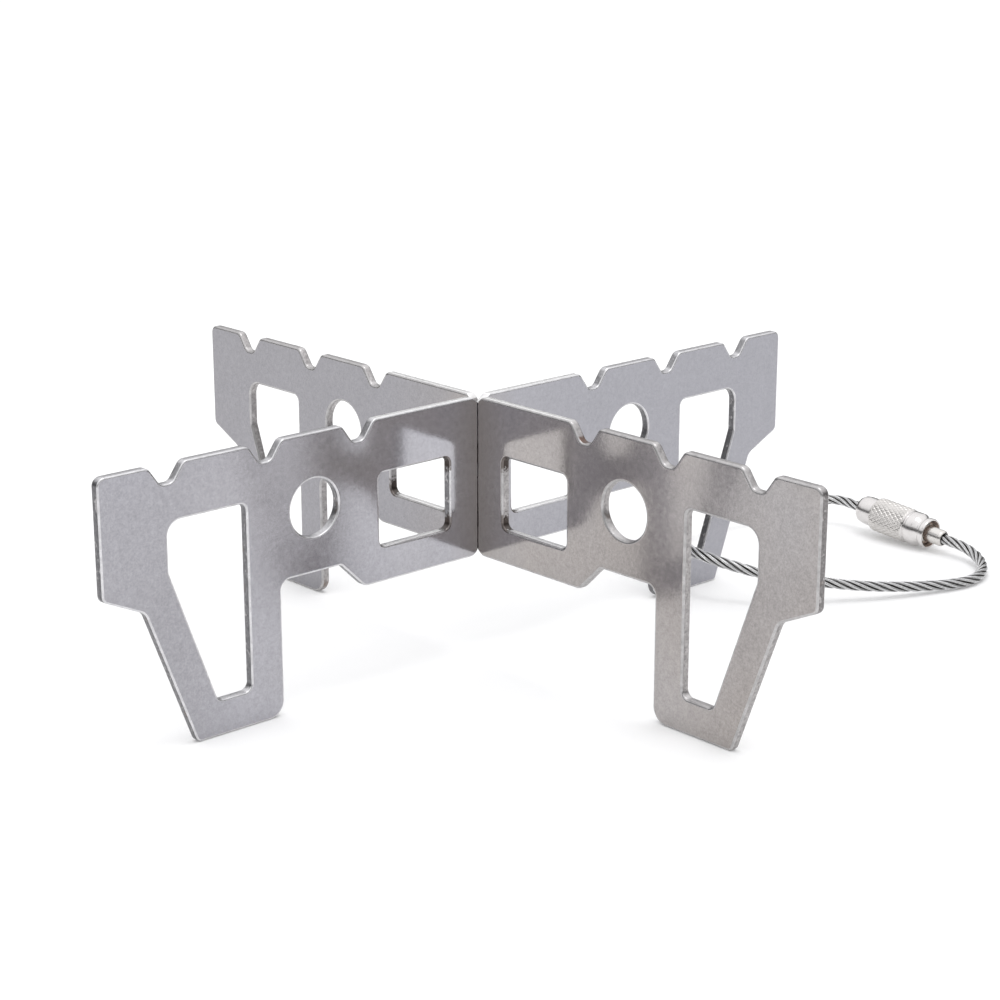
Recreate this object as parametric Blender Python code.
"""Cross pot stand for a spirit burner, with a wire carrying ring.

Two sheet-metal plates with the same outline interlock at their middle and
stand on four legs. A short stranded-wire ring, closed by a knurled screw
barrel, hangs in the outer window of the top plate's +X arm.

Frame: metres, +Z up, origin on the ground at the middle of the whole object's
footprint, ring included. The top plate lies along X and the base plate along Y.
Design coordinates are in millimetres from the foot of the line where they cross.
"""

import math

import bmesh
import bpy
import numpy as np
from mathutils import Vector

MM = 0.001
CROSSING = (-14.85, 0.0, 0.0)    # foot of the crossing line, from the scene origin
SHARP_ANGLE = math.radians(35)   # edges steeper than this are shaded sharp

# ---- sheet plates: x is the distance out along an arm ---------------------------
SHEET_T = 1.5                    # sheet thickness
HEIGHT = 42.0                    # ground to pot-rest edge
CENTRE_Z = 16.5                  # underside of the middle part

# Underside and end of an arm, from the middle outward: x, z, corner radius.
# The legs' inner faces at x = 38.9 clear a 75 mm burner; the recess at z = 20.8
# rests on the burner's rim.
ARM_CORNERS = [
    (23.4, CENTRE_Z, 0.9), (27.8, 20.8, 1.2),           # middle part, step to the recess
    (38.9, 20.8, 1.6), (38.9, 0.0, 2.6),                # leg's inner face
    (54.4, 0.0, 1.0), (62.3, 21.3, 2.0),                # foot, leg's outer edge
    (69.1, 24.5, 1.2), (69.1, HEIGHT, 1.3)]             # end of the arm

NOTCHES = (24.2, 41.1, 57.9)     # centres of the pot-grip notches
NOTCH_TOP = 2.95                 # half width at the top edge
NOTCH_FLOOR = 0.95               # half width at the floor
NOTCH_DEPTH = 2.8
NOTCH_TOP_ROUND = 0.9
NOTCH_FLOOR_ROUND = 1.0

LEAD_IN = 1.8                    # half width of the lead-in at the middle
LEAD_DEPTH = 1.1
LEAD_FLOOR = 0.5                 # half width of its floor where there is no slot
LEAD_FLOOR_ROUND = 0.3
LEAD_EDGE_ROUND = 0.5
SLOT_CLEARANCE = 0.15            # on each side of the sheet
SLOT_HALF = SHEET_T / 2 + SLOT_CLEARANCE
SLOT_LEAD_LESS = 0.3             # the lead-in is this much shallower at a slot
SLOT_MEET_Z = 29.4               # height where the two slots bottom out
SLOT_END_GAP = 0.12              # from that height to either slot's end
SLOT_END_ROUND = 0.25

# Windows, anticlockwise from the lower inner corner: x, z, corner radius.
INNER_WINDOW = [(6.45, 22.0, 1.1), (20.4, 22.0, 1.1), (20.4, 33.5, 1.1), (6.45, 33.5, 1.1)]
OUTER_WINDOW = [(44.7, 5.4, 1.2), (50.6, 5.4, 1.2), (58.1, 26.2, 1.5),
                (58.1, 33.75, 2.3), (44.7, 33.75, 1.1)]
HOLE_AT = (32.5, 30.65)          # x, z
HOLE_R = 4.4
HOLE_STEPS = 28
ARC_STEP = math.radians(22)      # largest turn per segment of a rounded corner
MAX_REACH = 0.49                 # share of an edge that one rounded corner may take

# ---- screw barrel and ferrules ---------------------------------------------------
BARREL_TAIL = np.array((95.65, 0.7, 4.42))      # centre of the tail face
BARREL_MOUTH = np.array((95.45, -15.5, 3.07))   # centre of the mouth face
BARREL_LEN = float(np.linalg.norm(BARREL_MOUTH - BARREL_TAIL))
BARREL_DIR = (BARREL_MOUTH - BARREL_TAIL) / BARREL_LEN
BARREL_R = 3.05                  # collar beyond the knurl
TAIL_R = 2.66
KNURL_R = 3.08                   # the knurl is modelled as a plain cylinder
LIP_R = 2.76                     # band at the mouth
CAVITY_R = 2.35
ROPE_BORE_R = 1.15               # through the barrel's tail and the threaded ferrule

STOP_START, STOP_END = 2.7, 5.9  # along the barrel from its tail
STOP_R = 2.00
STOP_BORE_R = 1.0
STOP_CHAMFER = 0.15

FERRULE_START, FERRULE_END = 11.2, 19.3  # 3 mm of it stands out of the mouth
FERRULE_R = 2.20
NECK_R = 1.48                    # smooth end of the ferrule
ROUND_STEPS = 24

# Closed profiles: distance along the barrel from its tail, radius.
STOP_PROFILE = [
    (STOP_START, STOP_R - STOP_CHAMFER), (STOP_START + STOP_CHAMFER, STOP_R),
    (STOP_END - STOP_CHAMFER, STOP_R), (STOP_END, STOP_R - STOP_CHAMFER),
    (STOP_END, STOP_BORE_R), (STOP_START, STOP_BORE_R)]
BARREL_PROFILE = [
    (0.0, ROPE_BORE_R), (0.0, 1.35), (0.15, 1.8), (0.45, 2.2), (1.0, 2.5),  # domed tail
    (1.8, 2.62), (3.9, TAIL_R),
    (4.4, KNURL_R), (11.45, KNURL_R),                                       # knurl
    (11.75, 2.8), (12.1, 2.8),                                              # groove
    (12.35, BARREL_R), (13.9, BARREL_R - 0.03),                             # collar
    (14.5, 2.66), (15.1, 2.62),                                             # groove
    (15.4, LIP_R), (BARREL_LEN - 0.15, LIP_R), (BARREL_LEN, 2.62),          # mouth
    (BARREL_LEN, 2.45), (BARREL_LEN - 0.3, CAVITY_R),
    (2.4, CAVITY_R), (2.1, ROPE_BORE_R)]                                    # cavity
FERRULE_PROFILE = [
    (FERRULE_START, 1.9), (FERRULE_START + 0.3, FERRULE_R), (14.6, FERRULE_R),
    (15.0, NECK_R), (FERRULE_END - 0.35, NECK_R), (FERRULE_END, 1.28),
    (FERRULE_END, ROPE_BORE_R), (FERRULE_START, ROPE_BORE_R)]

# ---- wire ring -------------------------------------------------------------------
RING_PIVOT = (46.0, 0.0, 8.15)   # where the rope crosses the outer window
STRAND_R = 0.30
STRAND_HELIX_R = 0.65
OUTER_STRANDS = 6
CORE_SIDES = 6
OUTER_SIDES = 5
ROPE_LAY = 14.0                  # length of one turn of the strands
ROPE_STEP = 1.05                 # spacing of the cross sections along the rope
# x, y, z round the loop, from the threaded ferrule to the barrel's tail
ROPE_POINTS = [
    (94.65, -25.9, 1.75), (90.55, -30.6, 1.15), (84.25, -32.4, 1.0),
    (78.4, -31.05, 1.2), (71.05, -28.1, 1.8), (64.4, -24.6, 2.6),
    (59.85, -21.7, 3.4), (54.1, -18.0, 4.6), (49.3, -13.6, 5.85),
    (46.75, -9.4, 6.85), (45.4, -5.6, 7.6), (45.6, -2.1, 8.0),
    (46.15, 1.0, 8.3), (47.55, 4.9, 8.5), (51.0, 9.6, 8.4), (57.05, 13.9, 7.9),
    (66.3, 16.8, 7.0), (76.7, 17.2, 6.0), (86.45, 13.75, 5.2),
    (92.65, 8.9, 4.8)]
STRAIGHT_TAIL = 3.0              # straight rope outside the tail
STRAIGHT_MOUTH = 5.2             # straight rope outside the mouth
ROPE_START = 11.4                # rope's end in the threaded ferrule, from the tail
ROPE_END = 5.5                   # rope's end in the stop ferrule, from the tail
CURVE_END_SPEED = 2.1            # length of the loop curve's slope at both ends
CURVE_SPACING_POWER = 0.75       # curve parameter grows by chord length to this power
CURVE_SAMPLES = 1500


# ---- scene helpers ---------------------------------------------------------------
def clear_scene():
    for obj in list(bpy.data.objects):
        bpy.data.objects.remove(obj, do_unlink=True)


def metal(name, colour, roughness):
    mat = bpy.data.materials.new(name)
    mat.use_nodes = True
    shader = mat.node_tree.nodes["Principled BSDF"]
    shader.inputs["Base Color"].default_value = (*colour, 1.0)
    shader.inputs["Roughness"].default_value = roughness
    shader.inputs["Metallic"].default_value = 1.0
    return mat


def link_object(name, data, origin):
    """Links an object (an empty if data is None) with its origin at a design point."""
    obj = bpy.data.objects.new(name, data)
    obj.location = (Vector(origin) + Vector(CROSSING)) * MM
    bpy.context.scene.collection.objects.link(obj)
    return obj


def add_solid(name, bm, mat, origin, parent=None):
    """Links a bmesh given in design millimetres."""
    bmesh.ops.recalc_face_normals(bm, faces=bm.faces)
    for vert in bm.verts:
        vert.co = (vert.co - Vector(origin)) * MM
    mesh = bpy.data.meshes.new(name)
    bm.to_mesh(mesh)
    bm.free()
    mesh.shade_smooth()
    mesh.set_sharp_from_angle(angle=SHARP_ANGLE)
    mesh.materials.append(mat)
    obj = link_object(name, mesh, origin)
    if parent is not None:
        obj.location = obj.location - parent.location
        obj.parent = parent


def unit(vector):
    return vector / np.linalg.norm(vector)


# ---- sheet plates ----------------------------------------------------------------
def fillet(corners):
    """Rounds each corner (x, z, radius) of a closed polygon and returns its points."""
    points = []
    for i, (x, z, radius) in enumerate(corners):
        corner = np.array((x, z))
        before = np.array(corners[i - 1][:2]) - corner
        after = np.array(corners[(i + 1) % len(corners)][:2]) - corner
        to_before, to_after = unit(before), unit(after)
        angle = math.acos(float(to_before @ to_after))
        reach = min(radius / math.tan(angle / 2),
                    MAX_REACH * min(np.linalg.norm(before), np.linalg.norm(after)))
        radius = reach * math.tan(angle / 2)
        middle = corner + unit(to_before + to_after) * radius / math.sin(angle / 2)
        start_arm = corner + to_before * reach - middle
        end_arm = corner + to_after * reach - middle
        sweep = math.pi - angle
        steps = max(1, int(math.ceil(sweep / ARC_STEP)))
        for k in range(steps + 1):
            share = k / steps
            arm = (math.sin((1 - share) * sweep) * start_arm
                   + math.sin(share * sweep) * end_arm) / math.sin(sweep)
            points.append(middle + arm)
    return points


def mirrored(corners):
    """Mirrors a loop in the crossing line, keeping its direction of travel."""
    return [(-x, *rest) for x, *rest in reversed(corners)]


def middle_corners(edge_z, inward, slot_end_z):
    """Lead-in at the middle of one edge, with its slot unless slot_end_z is None.

    Runs from the crossing line outward; inward is the z sign into the sheet.
    """
    lead_z = edge_z + inward * LEAD_DEPTH
    if slot_end_z is None:
        floor = [(LEAD_FLOOR, lead_z, LEAD_FLOOR_ROUND)]
    else:
        floor = [(SLOT_HALF, slot_end_z, SLOT_END_ROUND),
                 (SLOT_HALF, lead_z - inward * SLOT_LEAD_LESS, LEAD_FLOOR_ROUND)]
    return floor + [(LEAD_IN, edge_z, LEAD_EDGE_ROUND)]


def half_outline(slot_opens_up):
    """Corners of the +x half of a plate, anticlockwise from the lower middle."""
    if slot_opens_up:
        lower_slot_end, upper_slot_end = None, SLOT_MEET_Z - SLOT_END_GAP
    else:
        lower_slot_end, upper_slot_end = SLOT_MEET_Z + SLOT_END_GAP, None
    corners = middle_corners(CENTRE_Z, 1, lower_slot_end) + ARM_CORNERS
    for centre in reversed(NOTCHES):
        corners += [
            (centre + NOTCH_TOP, HEIGHT, NOTCH_TOP_ROUND),
            (centre + NOTCH_FLOOR, HEIGHT - NOTCH_DEPTH, NOTCH_FLOOR_ROUND),
            (centre - NOTCH_FLOOR, HEIGHT - NOTCH_DEPTH, NOTCH_FLOOR_ROUND),
            (centre - NOTCH_TOP, HEIGHT, NOTCH_TOP_ROUND)]
    return corners + middle_corners(HEIGHT, -1, upper_slot_end)[::-1]


def plate_loops(slot_opens_up):
    """The outline and every opening of a plate, as lists of (x, z) points."""
    half = half_outline(slot_opens_up)
    loops = [fillet(half + mirrored(half))]
    for window in (INNER_WINDOW, OUTER_WINDOW):
        loops += [fillet(window), fillet(mirrored(window))]
    angles = [2 * math.pi * k / HOLE_STEPS for k in range(HOLE_STEPS)]
    hole = [(HOLE_AT[0] + HOLE_R * math.cos(a), HOLE_AT[1] + HOLE_R * math.sin(a))
            for a in angles]
    return loops + [hole, mirrored(hole)]


def add_plate(name, slot_opens_up, along_y, mat):
    """One sheet plate: its outline filled round the openings, then thickened."""
    bm = bmesh.new()
    edges = []
    for loop in plate_loops(slot_opens_up):
        verts = [bm.verts.new((x, -SHEET_T / 2, z)) for x, z in loop]
        edges += [bm.edges.new((verts[i], verts[(i + 1) % len(verts)]))
                  for i in range(len(verts))]
    filled = bmesh.ops.triangle_fill(bm, use_beauty=True, use_dissolve=False, edges=edges)
    faces = [item for item in filled["geom"] if isinstance(item, bmesh.types.BMFace)]
    grown = bmesh.ops.extrude_face_region(bm, geom=faces)
    moved = [item for item in grown["geom"] if isinstance(item, bmesh.types.BMVert)]
    bmesh.ops.translate(bm, verts=moved, vec=(0, SHEET_T, 0))
    if along_y:
        for vert in bm.verts:
            x, y, z = vert.co
            vert.co = (-y, x, z)
    add_solid(name, bm, mat, origin=(0, 0, CENTRE_Z))


# ---- wire ring -------------------------------------------------------------------
def on_barrel(distance):
    """Point on the barrel's axis, measured from its tail towards its mouth."""
    return BARREL_TAIL + BARREL_DIR * distance


def smooth_curve(points, end_slope):
    """Samples a C2 cubic spline through the points, with the same slope at both ends."""
    points = np.array(points, float)
    count = len(points)
    spans = np.linalg.norm(np.diff(points, axis=0), axis=1) ** CURVE_SPACING_POWER
    knots = np.concatenate([[0.0], np.cumsum(spans)])
    system = np.zeros((count, count))
    targets = np.zeros((count, 3))
    system[0, 0] = system[-1, -1] = 1.0
    targets[0] = targets[-1] = end_slope
    for i in range(1, count - 1):
        before, after = spans[i - 1], spans[i]
        system[i, i - 1:i + 2] = 1 / before, 2 / before + 2 / after, 1 / after
        targets[i] = 3 * ((points[i] - points[i - 1]) / before ** 2
                          + (points[i + 1] - points[i]) / after ** 2)
    slopes = np.linalg.solve(system, targets)

    samples = []
    for k in range(CURVE_SAMPLES + 1):
        place = knots[-1] * k / CURVE_SAMPLES
        i = int(min(max(np.searchsorted(knots, place, side="right") - 1, 0), count - 2))
        u = (place - knots[i]) / spans[i]
        samples.append((2 * u**3 - 3 * u**2 + 1) * points[i]
                       + (u**3 - 2 * u**2 + u) * spans[i] * slopes[i]
                       + (3 * u**2 - 2 * u**3) * points[i + 1]
                       + (u**3 - u**2) * spans[i] * slopes[i + 1])
    return samples


def rope_centreline():
    """Evenly spaced points from the threaded ferrule round to the stop ferrule.

    Also returns each point's distance along the rope.
    """
    leave = on_barrel(BARREL_LEN + STRAIGHT_MOUTH)
    enter = on_barrel(-STRAIGHT_TAIL)
    loop = smooth_curve([leave, *ROPE_POINTS, enter], BARREL_DIR * CURVE_END_SPEED)
    dense = np.array([on_barrel(ROPE_START), *loop, on_barrel(ROPE_END)])
    steps = np.linalg.norm(np.diff(dense, axis=0), axis=1)
    run = np.concatenate([[0.0], np.cumsum(steps)])
    even_run = np.linspace(0, run[-1], int(round(run[-1] / ROPE_STEP)) + 1)
    even = [np.interp(even_run, run, dense[:, axis]) for axis in range(3)]
    return np.stack(even, axis=-1), even_run


def normals_along(path):
    """Two normals at each point, carried along the path without twist."""
    tangents = np.gradient(path, axis=0)
    tangents /= np.linalg.norm(tangents, axis=1)[:, None]
    normal = unit(np.cross(tangents[0], (0.0, 0.0, 1.0)))
    normals, others = [], []
    for tangent in tangents:
        normal = unit(normal - tangent * (normal @ tangent))
        normals.append(normal)
        others.append(np.cross(tangent, normal))
    return np.array(normals), np.array(others)


def outer_strand_path(centreline, run, index):
    """Helix of one outer strand round the core."""
    normals, others = normals_along(centreline)
    angle = 2 * math.pi * (run / ROPE_LAY + index / OUTER_STRANDS)
    return centreline + STRAND_HELIX_R * (np.cos(angle)[:, None] * normals
                                          + np.sin(angle)[:, None] * others)


def add_strand(name, path, sides, mat, parent):
    """A closed round tube along a path."""
    bm = bmesh.new()
    angles = [2 * math.pi * k / sides for k in range(sides)]
    rings = []
    for point, normal, other in zip(path, *normals_along(path)):
        rings.append([
            bm.verts.new(point + STRAND_R * (math.cos(a) * normal + math.sin(a) * other))
            for a in angles])
    for lower, upper in zip(rings, rings[1:]):
        for k in range(sides):
            after = (k + 1) % sides
            bm.faces.new((lower[k], lower[after], upper[after], upper[k]))
    bm.faces.new(rings[0][::-1])
    bm.faces.new(rings[-1])
    add_solid(name, bm, mat, RING_PIVOT, parent)


def add_rope(mat, parent):
    """The core strand and the outer strands laid round it."""
    centreline, run = rope_centreline()
    add_strand("rope_core_strand", centreline, CORE_SIDES, mat, parent)
    for index in range(OUTER_STRANDS):
        path = outer_strand_path(centreline, run, index)
        add_strand(f"rope_strand_{index + 1}", path, OUTER_SIDES, mat, parent)


# ---- turned pieces ---------------------------------------------------------------
def add_turned(name, profile, mat, origin, parent):
    """Spins a closed profile round the barrel's axis."""
    side = unit(np.cross(BARREL_DIR, (0.0, 0.0, 1.0)))
    up = np.cross(side, BARREL_DIR)
    bm = bmesh.new()
    rings = []
    for k in range(ROUND_STEPS):
        angle = 2 * math.pi * k / ROUND_STEPS
        outward = math.cos(angle) * side + math.sin(angle) * up
        rings.append([bm.verts.new(on_barrel(distance) + outward * radius)
                      for distance, radius in profile])
    for k, here in enumerate(rings):
        there = rings[(k + 1) % ROUND_STEPS]
        for i in range(len(profile)):
            j = (i + 1) % len(profile)
            bm.faces.new((here[i], here[j], there[j], there[i]))
    add_solid(name, bm, mat, origin, parent)


# ---- build -----------------------------------------------------------------------
clear_scene()

sheet_steel = metal("sheet_steel", colour=(0.47, 0.46, 0.46), roughness=0.30)
wire_steel = metal("wire_steel", colour=(0.50, 0.50, 0.50), roughness=0.32)
barrel_plating = metal("barrel_plate", colour=(0.72, 0.71, 0.70), roughness=0.24)
ferrule_plating = metal("ferrule_plate", colour=(0.66, 0.63, 0.61), roughness=0.28)

add_plate("base_plate", slot_opens_up=True, along_y=True, mat=sheet_steel)
add_plate("top_plate", slot_opens_up=False, along_y=False, mat=sheet_steel)

ring_axis = link_object("ring_axis", None, RING_PIVOT)
barrel_axis = link_object("barrel_axis", None, BARREL_TAIL)

add_rope(wire_steel, ring_axis)
add_turned("stop_ferrule", STOP_PROFILE, ferrule_plating, RING_PIVOT, ring_axis)
add_turned("knurled_barrel", BARREL_PROFILE, barrel_plating, BARREL_TAIL, barrel_axis)
add_turned("threaded_ferrule", FERRULE_PROFILE, ferrule_plating, BARREL_MOUTH, barrel_axis)
